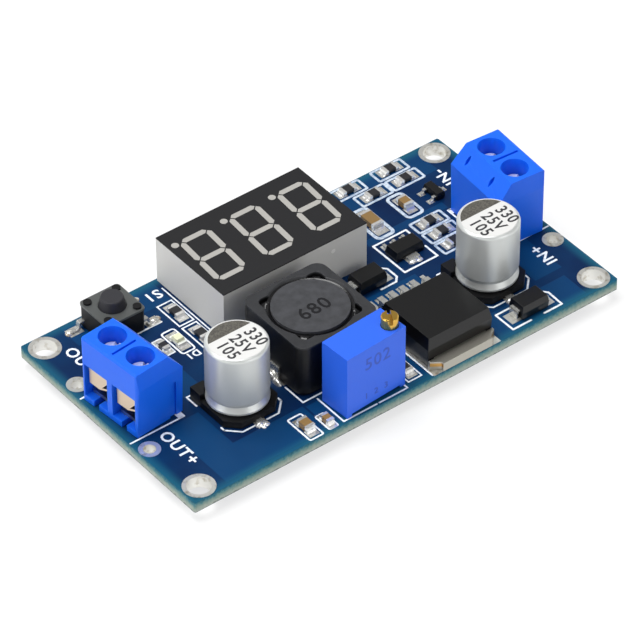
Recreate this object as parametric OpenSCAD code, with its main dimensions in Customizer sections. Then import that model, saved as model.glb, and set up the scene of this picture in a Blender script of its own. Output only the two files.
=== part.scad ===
// Step-down converter board with a three-digit voltmeter, millimetres.
// The origin is the middle of the four mounting holes, on the board's underside.
// +X runs along the board to the input end, +Y to the display's edge, +Z up.

/* [Board] */
// Length of the board
board_l = 66.5; // [66.5:0.5:72]
// Width of the board
board_w = 36; // [36:0.1:39]
// Thickness of the board
board_t = 1.6; // [1.2:0.1:2]
// Radius of the board's corners
board_corner_r = 0.3; // [0.3:0.1:1.5]
// Distance from a mounting hole to the board's end
hole_edge_x = 2.25; // [2.25:0.25:3]
// Distance from a mounting hole to the board's long edge
hole_edge_y = 2.15; // [2.15:0.05:3]
// Radius of a mounting hole, inside its plating
hole_r = 1.55; // [1.2:0.05:1.6]
// Radius of the bare ring round a mounting hole
hole_ring_r = 2.1; // [1.9:0.05:2.15]
// Radius of a wire hole, inside its plating
wire_hole_r = 0.8; // [0.6:0.05:1]
// Radius of the ring round a wire hole
wire_ring_r = 1.4; // [1.2:0.05:1.45]
// Thickness of the copper lands and of the plating in the holes
land_t = 0.05; // [0.03:0.01:0.08]
// How far the trimmed pins reach below the board
pin_tail = 1.5; // [1.3:0.1:2.5]
// Clearance between a pin and its plated hole
pin_clearance = 0.12; // [0.05:0.01:0.2]

/* [Display] */
// Length of the display
display_l = 22.5; // [22:0.1:23]
// Width of the display
display_w = 14; // [13.5:0.1:14.5]
// Height of the display
display_h = 7.05; // [6:0.05:8]
// Thickness of the dark mask on its face
mask_t = 0.15; // [0.1:0.05:0.3]
// Wall of the display's shell
display_wall = 0.8; // [0.5:0.1:1.2]
// Depth of the cell behind the face
cell_depth = 2.4; // [1.5:0.1:4]
// Distance from digit to digit
digit_pitch = 7.6; // [7:0.05:7.8]
// Digit width, between the middles of the upright bars
digit_w = 4; // [3.6:0.1:4.2]
// Digit height, between the middles of the top and bottom bars
digit_h = 8.55; // [8:0.05:9]
// Width of a bar
bar_w = 0.8; // [0.6:0.05:0.9]
// Gap between the ends of two bars
bar_gap = 0.16; // [0.1:0.02:0.24]
// Lean of the digits, as a share of their height
digit_lean = 0.07; // [0:0.01:0.12]
// Radius of a decimal point
point_r = 0.5; // [0.3:0.05:0.6]

/* [Screw terminals] */
// Distance from pole to pole
pole_pitch = 5.08; // [5:0.02:5.2]
// Depth of a terminal, from the wire side to the back
terminal_d = 7.3; // [7.1:0.1:7.5]
// Height of a terminal above the board
terminal_h = 10; // [9.6:0.1:11]
// Width of the flat top, from the wire side
terminal_top_d = 5.15; // [4.9:0.05:5.5]
// Height of the back wall, below its slope
shoulder_h = 7.4; // [7:0.1:8]
// Thickness of an end wall
end_wall = 0.57; // [0.5:0.01:0.7]
// Thickness of the wall between the poles
mid_wall = 0.9; // [0.7:0.05:1]
// Height of the wire opening's upper edge
opening_top = 5.9; // [5.7:0.1:6.2]
// Thickness of a terminal's floor
terminal_floor = 0.9; // [0.6:0.05:1]
// Radius of the upright edges beside the wire openings
front_edge_r = 0.5; // [0.3:0.1:1.5]
// Radius of a screw's well
well_r = 1.8; // [1.6:0.05:1.85]
// Distance from the wire side to the screws
screw_depth = 2.95; // [2.8:0.05:3.1]
// Height of a screw's head
head_h = 1; // [0.8:0.05:1.1]
// Clearance between a screw's head and its well
head_clearance = 0.1; // [0.06:0.01:0.15]
// Radius of a clamp screw's thread
thread_r = 1.25; // [1:0.05:1.3]
// Running clearance of the thread in its plate
thread_clearance = 0.04; // [0.02:0.01:0.08]
// How far a screw travels in closing its clamp
clamp_travel = 1.35; // [1.2:0.05:1.4]
// How far the output terminal is turned out of square, degrees
output_twist = 5.3; // [-6:0.1:6]
// How far the input terminal is turned out of square, degrees
input_twist = -4.2; // [-6:0.1:6]

/* [Inductor] */
// Side of the inductor's square shield
shield_side = 12.3; // [12:0.1:12.5]
// Height of the inductor above the board
inductor_h = 7.8; // [7:0.1:9]
// Radius of the drum core
drum_r = 4.95; // [4.7:0.05:5.1]
// Gap between the drum and the shield
drum_gap = 0.45; // [0.3:0.05:0.6]

/* [Capacitors] */
// Radius of an aluminium can
can_r = 4; // [3.9:0.05:4.05]
// Height of a can above the board
can_h = 10.2; // [9:0.1:12]
// Side of a can's square base
can_base = 8.3; // [8.2:0.05:8.4]

/* [Trimmer] */
// Length of the trimmer
trimmer_l = 9.5; // [9.2:0.1:9.8]
// Width of the trimmer
trimmer_w = 4.6; // [4.4:0.1:5]
// Height of the trimmer above the board
trimmer_h = 9.5; // [9:0.1:11]
// Radius of the adjusting screw
adjuster_r = 1.1; // [0.9:0.05:1.2]
// Running clearance of the adjusting screw
adjuster_clearance = 0.05; // [0.03:0.01:0.1]
// How far the adjusting screw stands above the trimmer
adjuster_rise = 1.5; // [1:0.1:2]
// How far the trimmer is turned out of square, degrees
trimmer_twist = 3.5; // [-6:0.1:6]

/* [Regulator] */
// Width of the regulator's body
regulator_w = 10.2; // [10:0.1:10.4]
// Length of the regulator's body
regulator_l = 9.4; // [9:0.1:9.4]
// Height of the regulator's body
regulator_h = 4.5; // [4.2:0.1:4.8]
// Thickness of its metal tab
tab_t = 1.27; // [1.1:0.05:1.4]
// How far the tab stands out in front
tab_reach = 1.55; // [1.2:0.05:1.55]
// Distance from lead to lead
lead_pitch = 1.7; // [1.6:0.05:1.75]

/* [Switch] */
// Side of the switch's square body
switch_side = 6; // [5.8:0.1:6.2]
// Height of the switch's cover above the board
cover_h = 3.6; // [3.4:0.1:4]
// Height of the button above the board
button_h = 5.05; // [4.8:0.05:6]
// Radius of the button where it enters the cover
button_r = 1.75; // [1.5:0.05:1.8]
// Running clearance of the button in the cover
button_clearance = 0.06; // [0.04:0.01:0.1]
// Travel of the button
button_travel = 0.25; // [0.2:0.01:0.3]

/* [Small parts] */
// Length of a large chip part
chip_l = 2; // [1.9:0.05:2.1]
// Width of a large chip part
chip_w = 1.25; // [1.1:0.05:1.35]
// Height of a chip resistor
resistor_h = 0.5; // [0.4:0.05:0.65]
// Height of a large ceramic capacitor
ceramic_h = 0.9; // [0.7:0.05:1.2]
// Length of a rectifier diode's body
diode_l = 4.3; // [4:0.1:4.5]
// Width of a rectifier diode's body
diode_w = 2.7; // [2.4:0.1:2.9]
// Height of a rectifier diode
diode_h = 2.2; // [1.9:0.1:2.4]

/* [Hidden] */
$fn = 48;

// The board's four sides
output_end = -board_l / 2;
input_end = board_l / 2;
near_edge = -board_w / 2;
far_edge = board_w / 2;
hole_span_x = board_l - 2 * hole_edge_x;
hole_span_y = board_w - 2 * hole_edge_y;

// Places of the parts, each from the nearer end and edge of the board
display_at = [-1.2, far_edge - 7.37];
output_at = [output_end + 4.6, 0.65];
input_at = [input_end - 4.6, 0.35];
inductor_at = [-5.75, -5.2];
output_capacitor_at = [output_end + 14.9, near_edge + 11.1];
input_capacitor_at = [input_end - 13.05, near_edge + 10.1];
trimmer_at = [-5.15, near_edge + 3.05];
regulator_at = [8.85, near_edge + 6.25];
input_diode_at = [input_end - 12.55, near_edge + 2.5];
output_diode_at = [7.7, 0.5];
small_regulator_at = [15.5, 2.75];
transistor_at = [input_end - 7.55, far_edge - 8.6];
switch_at = [output_end + 11.25, far_edge - 4.1];
indicator_at = [output_end + 15.95, far_edge - 11.3];
driver_chip_at = [-3, -4];
wire_hole_x = board_l / 2 - 1.45;
wire_hole_y = [-7, 7.9];

// Chip parts: place and turn, in degrees, of each
large_resistors = [
    [input_end - 15.95, far_edge - 1.3, 0], [input_end - 9.05, far_edge - 1.3, 0],
    [input_end - 13.85, far_edge - 4, 0], [input_end - 8.65, far_edge - 4, 0],
    [input_end - 11.55, 5.4, 0], [input_end - 11.55, 2.9, 0], [input_end - 11.55, 0.4, 0],
    [-14.3, far_edge - 6.85, 90], [-14.3, far_edge - 12.05, 90], [1.45, near_edge + 3.35, 90]
];
small_resistors = [[output_end + 13.85, far_edge - 11.1, 90]];
large_ceramics = [[input_end - 11.95, far_edge - 8.1, 90], [-14.6, near_edge + 2.4, 90]];
tall_ceramics = [[15.7, far_edge - 8.2, 90]];
small_ceramics = [[-11.9, near_edge + 1.7, 90]];
tall_l = 3;
tall_w = 1.6;
tiny_l = 1.6;
tiny_w = 0.95;
tiny_ceramic_h = 0.75;
test_pad_at = [14.2, -2.5];

// Face and cell of the display
shell_h = display_h - mask_t;
point_x = -digit_w / 2 - 0.95;
row_gap = 10.16;
pins_per_row = 6;
pin_pitch = 2.54;
pin_side = 0.5;
pin_hole_r = pin_side * sqrt(2) / 2 + pin_clearance;
pin_ring_r = pin_hole_r + 0.4;
backing_t = 0.8;
backing_gap = 0.1;

// Inside of a screw terminal, heights above the board
terminal_l = pole_pitch + 2 * end_wall + (pole_pitch - mid_wall);
cell_w = pole_pitch - mid_wall;
cell_d = terminal_d - 1.2;
strip_t = 0.5;
leaf_t = 0.3;
leaf_front = 0.5;
leaf_back_gap = 0.6;
contact_w = cell_w - 0.5;
contact_back = cell_d - 0.1;
leaf_back = contact_back - strip_t - leaf_back_gap;
contact_front = 1.1;
plate_t = 0.8;
plate_drop = 0.6;
closed_gap = 0.12;
strip_top = terminal_floor + strip_t;
leaf_bottom = strip_top + clamp_travel + closed_gap;
plate_top = opening_top - plate_drop;
head_bottom = plate_top + clamp_travel + closed_gap;
guard_top = opening_top - 0.3;
guard_bevel = [1.6, 1.9];
leaf_w = contact_w - 0.2;
blade_w = 1;
blade_t = 0.8;
blade_drop = land_t + board_t + pin_tail;
blade_hole_r = sqrt(blade_w * blade_w + blade_t * blade_t) / 2 + pin_clearance;
blade_ring_r = blade_hole_r + 0.5;
end_draft = 0.25;
slot_l = 1.6;
slot_w = 0.5;
slot_shift = 0.55;
foot_draft = 0.25;

// Inside of the trimmer and the switch
trimmer_feet = 0.4;
trimmer_pin_r = 0.3;
trimmer_hole_r = trimmer_pin_r + pin_clearance;
trimmer_ring_r = trimmer_hole_r + 0.4;
adjuster_at = [trimmer_l / 2 - 1.25, -0.75];
adjuster_depth = 2.6;
adjuster_turn = 58;
seal_t = 0.8;
seal_area = [trimmer_l - 1.6, trimmer_w - 0.8];
cover_t = 0.3;
stud_r = 0.55;
stud_at = switch_side / 2 - 0.8;
pocket_r = 2.3;
flange_r = 2.05;
flange_t = 0.4;
dome_h = 0.35;

// Solder cones below the board
cone_h = 0.8;
overlap = 1;

// ---------- shared forms ----------

// A rectangle with true round corners
module rounded_rect(l, w, r) {
    square([l - 2 * r, w], center = true);
    square([l, w - 2 * r], center = true);
    for (x = [-1, 1], y = [-1, 1])
        translate([x * (l / 2 - r), y * (w / 2 - r)]) circle(r);
}

module rounded_block(l, w, h, r) linear_extrude(h) rounded_rect(l, w, r);

// A profile drawn in X and Z, drawn out along Y about the middle
module across_y(w) translate([0, w / 2, 0]) rotate([90, 0, 0]) linear_extrude(w) children();

// A profile drawn in Y and Z, drawn out along X about the middle
module across_x(l) rotate([90, 0, 90]) translate([0, 0, -l / 2]) linear_extrude(l) children();

// A moulded body with drafted sides above and below its parting line
module moulded_body(l, w, h, lift, line, draft) {
    intersection() {
        across_y(w + overlap) drafted_profile(l, h, lift, line, draft);
        across_x(l + overlap) drafted_profile(w, h, lift, line, draft);
    }
}

module drafted_profile(l, h, lift, line, draft)
    polygon([
        [-l / 2 + draft * 0.4, lift], [l / 2 - draft * 0.4, lift], [l / 2, line],
        [l / 2 - draft, h], [-l / 2 + draft, h], [-l / 2, line]
    ]);

// A bent lead: out from the body at a height, down, and out again on its foot
module gull_lead(inside, level, bend_x, tip_x, w, t, foot_z) {
    across_y(w) polygon([
        [inside, level], [bend_x - t * 0.4, level], [bend_x, level - t * 0.4],
        [bend_x + t * 0.5, foot_z + t * 1.3], [bend_x + t * 0.9, foot_z + t], [tip_x, foot_z + t],
        [tip_x, foot_z], [bend_x + t * 0.2, foot_z], [bend_x - t * 0.5, foot_z + t * 0.8],
        [bend_x - t, level - t * 1.2], [bend_x - t * 1.2, level - t], [inside, level - t]
    ]);
}

// The concave fillet of solder at the end of a part
module fillet(reach, height, w)
    across_y(w) polygon([
        [0, 0], [reach, 0], [reach * 0.55, height * 0.16], [reach * 0.25, height * 0.45], [0, height]
    ]);

module on_board(at, turn = 0) translate([at.x, at.y, board_t]) rotate(turn) children();

// The terminals rest on the rings of their plated holes
module at_output() on_board(output_at, output_twist) translate([0, 0, land_t]) children();

module at_input() on_board(input_at, 180 + input_twist) translate([0, 0, land_t]) children();

// ---------- places of holes ----------

module mounting_places()
    for (x = [-1, 1], y = [-1, 1]) translate([x * hole_span_x / 2, y * hole_span_y / 2]) children();

module wire_places()
    for (x = [-1, 1], y = wire_hole_y) translate([x * wire_hole_x, y]) children();

module display_pin_places()
    for (y = [-1, 1], i = [0 : pins_per_row - 1])
        translate([
            display_at.x + (i - (pins_per_row - 1) / 2) * pin_pitch, display_at.y + y * row_gap / 2
        ]) children();

module trimmer_pin_places()
    translate(trimmer_at) rotate(trimmer_twist) for (i = [-1 : 1]) translate([i * pin_pitch, 0]) children();

module pole_places() for (y = [-1, 1]) translate([0, y * pole_pitch / 2]) children();

module blade_places() {
    translate(output_at) rotate(output_twist) pole_places() children();
    translate(input_at) rotate(180 + input_twist) pole_places() children();
}

// ---------- board ----------

module circuit_board() color("#10366f") difference() {
    rounded_block(board_l, board_w, board_t, board_corner_r);
    translate([0, 0, -overlap]) linear_extrude(board_t + 2 * overlap) {
        mounting_places() circle(hole_r + land_t);
        wire_places() circle(wire_hole_r + land_t);
        display_pin_places() circle(pin_hole_r + land_t);
        trimmer_pin_places() circle(trimmer_hole_r + land_t);
        blade_places() circle(blade_hole_r + land_t);
    }
}

// A plated hole: a ring on each face and the tube between them
module eyelet(r, ring_r)
    rotate_extrude() translate([r, 0]) {
        translate([0, -land_t]) square([land_t, board_t + 2 * land_t]);
        translate([0, board_t]) square([ring_r - r, land_t]);
        translate([0, -land_t]) square([ring_r - r, land_t]);
    }

module land(l, w) translate([-l / 2, -w / 2, 0]) cube([l, w, land_t]);

// The two lands of a chip part of a given length and width
module chip_lands(l, w)
    for (x = [-1, 1]) translate([x * (l / 2 + 0.15), 0, 0]) land(l * 0.65, w + 0.25);

module diode_lands() for (x = [-1, 1]) translate([x * (diode_l / 2 + 0.3), 0, 0]) land(2, 1.9);

module plated_lands() color("#d8d6cc") {
    mounting_places() eyelet(hole_r, hole_ring_r);
    wire_places() eyelet(wire_hole_r, wire_ring_r);
    display_pin_places() eyelet(pin_hole_r, pin_ring_r);
    trimmer_pin_places() eyelet(trimmer_hole_r, trimmer_ring_r);
    blade_places() eyelet(blade_hole_r, blade_ring_r);
    for (p = large_resistors) on_board(p, p.z) chip_lands(chip_l, chip_w);
    for (p = small_resistors) on_board(p, p.z) chip_lands(tiny_l, tiny_w);
    for (p = large_ceramics) on_board(p, p.z) chip_lands(chip_l, chip_w);
    for (p = tall_ceramics) on_board(p, p.z) chip_lands(tall_l, tall_w);
    on_board(test_pad_at) land(0.6, 0.6);
    for (p = small_ceramics) on_board(p, p.z) chip_lands(tiny_l, tiny_w);
    on_board(indicator_at, 90) chip_lands(chip_l, chip_w);
    on_board(input_diode_at) diode_lands();
    on_board(output_diode_at) diode_lands();
    for (p = [output_capacitor_at, input_capacitor_at], y = [-1, 1])
        on_board(p) translate([0, y * (can_base / 2 - 0.4), 0]) land(1.6, 3.2);
    for (x = [-1, 1])
        on_board(inductor_at) translate([x * (shield_side / 2 - 1.3), 0, 0]) land(3, clip_w + 2);
    on_board(regulator_at) {
        translate([0, -1.65, 0]) land(regulator_w + 0.4, 9.1);
        for (i = [-2 : 2]) translate([i * lead_pitch, regulator_l / 2 + 3.7, 0]) land(1.1, 2.2);
    }
    on_board(small_regulator_at) {
        for (i = [-1 : 1]) translate([i * 1.5, 2, 0]) land(0.8, 1.3);
        translate([0, -1.45, 0]) land(2, 1.8);
    }
    on_board(transistor_at) {
        for (y = [-1, 1]) translate([-1.35, y * 0.95, 0]) land(0.9, 0.8);
        translate([1.35, 0, 0]) land(0.9, 0.8);
    }
    for (x = [-1, 1], y = [-1, 1])
        on_board(switch_at) translate([x * 4.3, y * leg_y, 0]) land(2, 1.5);
    for (y = [-1, 1], i = [-4.5 : 1 : 4.5])
        at_driver() translate([i * driver_pitch, y * (driver_tip - 0.3), 0]) land(0.36, 1.3);
}

// Fillets at the two ends of a chip part
module chip_fillets(l, w, h)
    for (x = [0, 1]) mirror([x, 0, 0]) translate([l / 2, 0, land_t]) fillet(l * 0.2, h * 0.75, w);

// Solder of a pin: a cone below the board that fills the plated hole round the pin
module solder_cone(r, ring_r, tip_r)
    translate([0, 0, -land_t - cone_h]) difference() {
        rotate_extrude() polygon([
            [0, 0], [tip_r, 0], [ring_r * 0.62, cone_h * 0.6], [ring_r, cone_h], [r, cone_h],
            [r, cone_h + board_t], [0, cone_h + board_t]
        ]);
        translate([0, 0, -overlap]) linear_extrude(cone_h + board_t + 2 * overlap) children();
    }

module solder_joints() color("#dcdcd8") {
    for (p = large_resistors) on_board(p, p.z) chip_fillets(chip_l, chip_w, resistor_h);
    for (p = small_resistors)
        on_board(p, p.z) chip_fillets(tiny_l, tiny_w, resistor_h);
    for (p = large_ceramics) on_board(p, p.z) chip_fillets(chip_l, chip_w, ceramic_h);
    for (p = tall_ceramics)
        on_board(p, p.z) chip_fillets(tall_l, tall_w, ceramic_h);
    for (p = small_ceramics)
        on_board(p, p.z) chip_fillets(tiny_l, tiny_w, tiny_ceramic_h);
    on_board(indicator_at, 90) chip_fillets(chip_l, chip_w, 0.5);
    display_pin_places()
        solder_cone(pin_hole_r, pin_ring_r, pin_side * 0.85) square(pin_side, center = true);
    trimmer_pin_places()
        solder_cone(trimmer_hole_r, trimmer_ring_r, trimmer_pin_r + 0.1) circle(trimmer_pin_r);
    blade_places()
        solder_cone(blade_hole_r, blade_ring_r, blade_w * 0.72) square([blade_t, blade_w], center = true);
}

// ---------- display ----------

// A point of a digit, moved sideways with its height by the digits' lean
function leaning(p) = [p.x + digit_lean * p.y, p.y];

// Outline of a bar with pointed ends, about its own middle
function bar_outline(l, h) =
    [[-l / 2, 0], [h - l / 2, h], [l / 2 - h, h], [l / 2, 0], [l / 2 - h, -h], [h - l / 2, -h]];

module level_bar(row) polygon([
    for (p = bar_outline(digit_w - bar_gap * 1.4, bar_w / 2)) leaning([p.x, p.y + row * digit_h / 2])
]);

module upright_bar(side, row) polygon([
    for (p = bar_outline(digit_h / 2 - bar_gap * 1.4, bar_w / 2))
        leaning([p.y + side * digit_w / 2, p.x + row * digit_h / 4])
]);

// The seven bars and the point of a digit
module digit_openings() {
    for (row = [-1 : 1]) level_bar(row);
    for (side = [-1, 1], row = [-1, 1]) upright_bar(side, row);
    translate(leaning([point_x, digit_h / 2])) circle(point_r);
}

module face_openings() for (i = [-1 : 1]) translate([i * digit_pitch, 0]) digit_openings();

module display_block(inset, low, high)
    translate([0, 0, low])
        linear_extrude(high - low) square([display_l - 2 * inset, display_w - 2 * inset], center = true);

module display_shell() color("#c9c8c3") on_board(display_at) difference() {
    display_block(0, land_t, shell_h);
    display_block(display_wall, land_t - overlap, cell_depth);
    translate([0, 0, cell_depth - overlap]) linear_extrude(shell_h) face_openings();
}

module display_mask() color("#2b2a2e") on_board(display_at) difference() {
    display_block(0, shell_h, display_h);
    translate([0, 0, shell_h - overlap]) linear_extrude(mask_t + 2 * overlap) face_openings();
}

// Cast resin: it fills the cell over the backing and the light wells of the bars
module display_resin() color("#b4b3ac") on_board(display_at) {
    display_block(display_wall, land_t + backing_t + backing_gap, cell_depth);
    translate([0, 0, cell_depth]) linear_extrude(display_h - cell_depth) face_openings();
}

module display_backing() color("#3b4a3a") on_board(display_at)
    display_block(display_wall, land_t + backing_gap, land_t + backing_t + backing_gap);

module display_pins() color("#cfcfca") display_pin_places()
    translate([-pin_side / 2, -pin_side / 2, -pin_tail])
        cube([pin_side, pin_side, pin_tail + board_t + land_t + backing_gap]);

// ---------- screw terminals ----------

// Side view of a terminal: X from the wire side, Z up
module terminal_profile()
    polygon([
        [0, 0], [0, terminal_h - 0.25], [0.25, terminal_h], [terminal_top_d, terminal_h],
        [terminal_d, shoulder_h], [terminal_d, 0]
    ]);

// Plan of a terminal, round at its two wire-side corners
module terminal_plan() {
    r = front_edge_r;
    translate([r, -terminal_l / 2]) square([terminal_d - r, terminal_l]);
    translate([0, r - terminal_l / 2]) square([terminal_d, terminal_l - 2 * r]);
    for (y = [-1, 1]) translate([r, y * (terminal_l / 2 - r)]) circle(r);
}

// End view, which narrows over its top shoulders
module terminal_end_view() {
    l = terminal_l / 2;
    polygon([
        [foot_draft - l, 0], [-l, shoulder_h], [end_draft - l, terminal_h], [l - end_draft, terminal_h],
        [l, shoulder_h], [l - foot_draft, 0]
    ]);
}

// Wire cell of a pole, open in front, with its screw well and the slots of its floor
module pole_cut() {
    translate([-overlap, -cell_w / 2, terminal_floor])
        cube([cell_d + overlap, cell_w, opening_top - terminal_floor]);
    translate([screw_depth, 0, opening_top - overlap]) cylinder(r = well_r, h = terminal_h);
    translate([-overlap, -0.45, -overlap]) cube([screw_depth + overlap, 0.9, terminal_floor + 2 * overlap]);
    translate([terminal_d / 2 - blade_t, -blade_w / 2 - 0.1, -overlap])
        cube([2 * blade_t, blade_w + 0.2, terminal_floor + 2 * overlap]);
}

// The slender slot in the back slope behind a pole
module slope_slot() {
    lean = atan2(terminal_h - shoulder_h, terminal_d - terminal_top_d);
    run = norm([terminal_h - shoulder_h, terminal_d - terminal_top_d]);
    bow = (slot_l * slot_l + slot_w * slot_w) / (4 * slot_w);
    translate([terminal_top_d, -slot_shift, terminal_h]) rotate([0, lean, 0]) translate([run * 0.47, 0, -0.5])
        linear_extrude(1 + overlap) intersection() {
            translate([0, bow - slot_w / 2]) circle(bow);
            translate([0, slot_w / 2 - bow]) circle(bow);
        }
}

// Upright joining rib and groove, by which blocks of this kind lock side by side
module joining_rib(extra) {
    x = terminal_d - 1.5;
    linear_extrude(shoulder_h - 1 + extra)
        polygon([
            [x - 0.3 - extra, -0.1], [x - 0.45 - extra, 0.45], [x + 0.45 + extra, 0.45],
            [x + 0.3 + extra, -0.1]
        ]);
}

module terminal_housing() translate([-terminal_d / 2, 0, 0]) {
    difference() {
        intersection() {
            across_y(terminal_l + overlap) terminal_profile();
            linear_extrude(terminal_h + overlap) terminal_plan();
            translate([terminal_d / 2, 0, 0]) across_x(terminal_d + overlap) terminal_end_view();
        }
        pole_places() pole_cut();
        pole_places() slope_slot();
        translate([terminal_top_d / 2 - 1.9, -0.17, terminal_h - 0.4]) cube([3.8, 0.34, overlap]);
        translate([0, -terminal_l / 2, -overlap]) joining_rib(0.1);
    }
    translate([0, terminal_l / 2, 0]) joining_rib(0);
}

// Bent strip of a pole: floor strip, back, threaded plate and the blade through the board
module contact() translate([-terminal_d / 2, 0, 0]) {
    difference() {
        across_y(contact_w) polygon([
            [contact_front, terminal_floor], [contact_back, terminal_floor], [contact_back, plate_top],
            [contact_front, plate_top], [contact_front, plate_top - plate_t],
            [contact_back - strip_t, plate_top - plate_t], [contact_back - strip_t, strip_top],
            [contact_front, strip_top]
        ]);
        translate([screw_depth, 0, terminal_floor + strip_t + overlap / 2])
            cylinder(r = thread_r + thread_clearance, h = terminal_h);
    }
    translate([(terminal_d - blade_t) / 2, -blade_w / 2, -blade_drop])
        cube([blade_t, blade_w, terminal_floor + strip_t / 2 + blade_drop]);
}

// Pressure leaf of a pole, with the bevelled guard in front of the threaded plate
module clamp_leaf() translate([-terminal_d / 2, 0, 0]) {
    translate([leaf_front, 0, leaf_bottom]) linear_extrude(leaf_t) polygon([
        [0, guard_bevel.x - leaf_w / 2], [0.8, -leaf_w / 2], [leaf_back - leaf_front, -leaf_w / 2],
        [leaf_back - leaf_front, leaf_w / 2], [0, leaf_w / 2]
    ]);
    translate([leaf_front + leaf_t / 2, 0, 0]) across_x(leaf_t) polygon([
        [guard_bevel.x - leaf_w / 2, leaf_bottom], [leaf_w / 2, leaf_bottom], [leaf_w / 2, guard_top],
        [-leaf_w / 2, guard_top], [-leaf_w / 2, leaf_bottom + guard_bevel.y]
    ]);
}

// Clamp screw with a cross-slotted head; its point bears on the leaf
module clamp_screw() translate([screw_depth - terminal_d / 2, 0, 0]) difference() {
    union() {
        translate([0, 0, leaf_bottom + leaf_t]) cylinder(r = thread_r, h = head_bottom - leaf_bottom);
        translate([0, 0, head_bottom]) rotate_extrude() polygon([
            [0, 0], [well_r - head_clearance, 0], [well_r - head_clearance, head_h * 0.7],
            [well_r - head_clearance - 0.25, head_h], [0, head_h]
        ]);
    }
    for (a = [25, 115])
        translate([0, 0, head_bottom + head_h]) rotate(a)
            cube([2 * well_r, 0.5, head_h * 1.1], center = true);
}

// Pole of a terminal: side is -1 for the positive pole, at the board's near edge
module output_pole(side) at_output() translate([0, side * pole_pitch / 2, 0]) children();

module input_pole(side) at_input() translate([0, -side * pole_pitch / 2, 0]) children();

module output_housing() color("#1f4fe0") at_output() terminal_housing();
module input_housing() color("#1f4fe0") at_input() terminal_housing();
module output_contacts() color("#c4c3bd") for (s = [-1, 1]) output_pole(s) contact();
module input_contacts() color("#c4c3bd") for (s = [-1, 1]) input_pole(s) contact();
module output_positive_clamp() color("#b99b74") output_pole(-1) clamp_leaf();
module output_positive_screw() color("#b9bac0") output_pole(-1) clamp_screw();
module output_negative_clamp() color("#b99b74") output_pole(1) clamp_leaf();
module output_negative_screw() color("#b9bac0") output_pole(1) clamp_screw();
module input_positive_clamp() color("#b99b74") input_pole(-1) clamp_leaf();
module input_positive_screw() color("#b9bac0") input_pole(-1) clamp_screw();
module input_negative_clamp() color("#b99b74") input_pole(1) clamp_leaf();
module input_negative_screw() color("#b9bac0") input_pole(1) clamp_screw();

// ---------- capacitors ----------

lead_strip_t = 0.25;
lead_strip_w = 0.9;
lead_strip_tip = 5;
lead_strip_root = 1.2;
base_t = 1;
base_cut = 1.6;
base_block = 2;
base_lift = land_t + 0.05;
base_top = base_lift + base_t;
block_h = 0.9;
can_rim_h = 0.85;
can_neck = 0.4;
can_edge_r = 0.45;

// Revolved can: rolled rim, neck over the seal, plain wall and rounded top edge
module capacitor_can() rotate_extrude() {
    polygon([
        [0, base_top], [can_r - 0.3, base_top], [can_r, base_top + 0.3], [can_r, base_top + can_rim_h - 0.3],
        [can_r - can_neck, base_top + can_rim_h + 0.35], [can_r - can_neck, base_top + can_rim_h + 0.55],
        [can_r, base_top + can_rim_h + 1.1], [can_r, can_h - can_edge_r], [can_r - can_edge_r, can_h],
        [0, can_h]
    ]);
    translate([can_r - can_edge_r, can_h - can_edge_r]) circle(can_edge_r);
}

// Square base, with two cut corners and two corners raised round the can
module capacitor_base() difference() {
    translate([0, 0, base_lift]) {
        h = can_base / 2;
        cut = base_cut;
        linear_extrude(base_t)
            polygon([[cut - h, -h], [h - cut, -h], [h, cut - h], [h, h], [-h, h], [-h, cut - h]]);
        linear_extrude(base_t + block_h) difference() {
            for (x = [-1, 1])
                translate([x * (h - base_block / 2), h - base_block / 2]) square(base_block, center = true);
            circle(can_r + 0.1);
        }
    }
    capacitor_strips(lead_strip_t + overlap);
}

module capacitor_strips(h) for (s = [0, 1]) mirror([0, s, 0])
    translate([-lead_strip_w / 2, lead_strip_root, land_t + lead_strip_t - h])
        cube([lead_strip_w, lead_strip_tip - lead_strip_root, h]);

module capacitor_leads() capacitor_strips(lead_strip_t);

module output_capacitor_can() color("#c3c5c6") on_board(output_capacitor_at) capacitor_can();
module output_capacitor_base() color("#141416") on_board(output_capacitor_at) capacitor_base();
module output_capacitor_leads() color("#d4d4d0") on_board(output_capacitor_at) capacitor_leads();
module input_capacitor_can() color("#c3c5c6") on_board(input_capacitor_at) capacitor_can();
module input_capacitor_base() color("#141416") on_board(input_capacitor_at) capacitor_base();
module input_capacitor_leads() color("#d4d4d0") on_board(input_capacitor_at) capacitor_leads();

// ---------- inductor ----------

clip_t = 0.25;
clip_w = 3.4;
clip_rise = 2.2;
clip_foot = 3.6;
shield_r = 1.5;
shield_bottom = land_t + clip_t;
flange_thick = 1.3;
waist_r = 2.4;
winding_r = 4.35;
pocket_corner = 4.75;
pocket_side = 2.2;
pocket_depth = 3.2;
mouth_bevel = 0.25;

module inductor_shield() color("#4a4a4d") on_board(inductor_at) difference() {
    translate([0, 0, shield_bottom])
        rounded_block(shield_side, shield_side, inductor_h - shield_bottom, shield_r);
    cylinder(r = drum_r + drum_gap, h = inductor_h + overlap);
    translate([0, 0, inductor_h - mouth_bevel])
        cylinder(r1 = drum_r + drum_gap, r2 = drum_r + drum_gap + 2 * mouth_bevel, h = 2 * mouth_bevel);
    for (x = [-1, 1], y = [-1, 1]) translate([
        x * (pocket_corner - pocket_side / 2), y * (pocket_corner - pocket_side / 2),
        inductor_h - pocket_depth
    ]) rounded_block(pocket_side, pocket_side, pocket_depth + overlap, 0.8);
}

// Drum core: two flanges and a waist for the wire
module inductor_drum() color("#515154") on_board(inductor_at) rotate_extrude() polygon([
    [0, shield_bottom], [drum_r, shield_bottom], [drum_r, shield_bottom + flange_thick],
    [waist_r, shield_bottom + flange_thick], [waist_r, inductor_h - flange_thick],
    [drum_r, inductor_h - flange_thick], [drum_r, inductor_h], [0, inductor_h]
]);

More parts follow.
